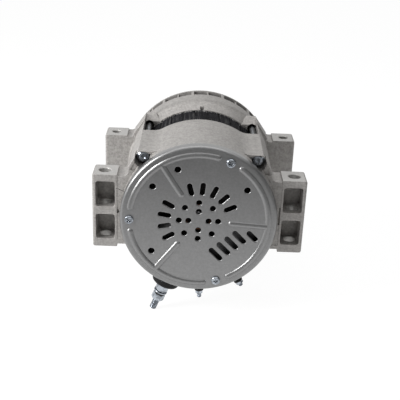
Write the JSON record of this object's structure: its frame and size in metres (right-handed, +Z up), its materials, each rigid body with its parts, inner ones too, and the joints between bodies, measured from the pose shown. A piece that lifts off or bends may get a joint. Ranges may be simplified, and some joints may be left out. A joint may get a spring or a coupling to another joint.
{
  "type": "alternator",
  "caption": "Heavy-duty claw-pole alternator with pocketed mounting lugs, pressed vented rear cover, window over the stator, output and signal studs and a keyed shaft.",
  "frame": {"origin": "on the shaft axis at the shoulder that the pulley seats on", "axes": "+Y along the shaft towards the pulley, +Z up with the output stud below, +X to the right seen from behind"},
  "size_m": [0.2364, 0.2566, 0.22],
  "materials": {
    "cover_steel": "satin, fine grain",
    "bright_steel": "zinc plated",
    "cast_aluminium": "fine sand-cast grain",
    "laminations": "black varnish",
    "copper": "enamelled copper",
    "dark_steel": "machined and oiled",
    "black_plastic": "moulded",
    "carbon": "pressed carbon",
    "plate_aluminium": "rolled sheet"
  },
  "bodies": {
    "housing": {"rear_cover": "cover_steel", "cover_screws": "bright_steel", "rear_housing": "cast_aluminium", "front_housing": "cast_aluminium", "through_bolts": "bright_steel", "stator_core": "laminations", "stator_windings": "copper", "front_bearing_outer_race": "bright_steel", "front_bearing_shields": "black_plastic", "rear_bearing_outer_race": "bright_steel", "rear_bearing_shields": "black_plastic", "brush_holder": "black_plastic", "brushes": "carbon", "brush_springs": "bright_steel", "regulator": "black_plastic", "capacitor": "plate_aluminium", "capacitor_foot": "plate_aluminium", "positive_plate": "plate_aluminium", "negative_plate": "plate_aluminium", "diodes": "bright_steel", "rectifier_spacers": "black_plastic", "rectifier_screws": "bright_steel", "output_strap": "copper", "output_stud": "bright_steel", "output_insulator": "black_plastic", "output_jam_nut": "bright_steel", "output_washers": "bright_steel", "output_nut": "bright_steel", "signal_studs": "bright_steel", "signal_insulators": "black_plastic", "signal_washers": "bright_steel", "signal_nuts": "bright_steel"},
    "rotor": {"shaft": "dark_steel", "pulley_collar": "dark_steel", "rear_claw_pole": "dark_steel", "front_claw_pole": "dark_steel", "coil_bobbin": "black_plastic", "field_coil": "copper", "rear_fan": "dark_steel", "front_fan": "dark_steel", "fan_spacer": "dark_steel", "bearing_spacer": "dark_steel", "front_bearing_inner_race": "bright_steel", "rear_bearing_inner_race": "bright_steel", "slip_ring_hub": "black_plastic", "slip_rings": "copper"}
  },
  "joints": [
    {"name": "rotor_spin", "type": "hinge", "parent": "housing", "child": "rotor", "pos_m": [0, 0, 0], "axis": [0, 1, 0], "continuous": true}
  ]
}
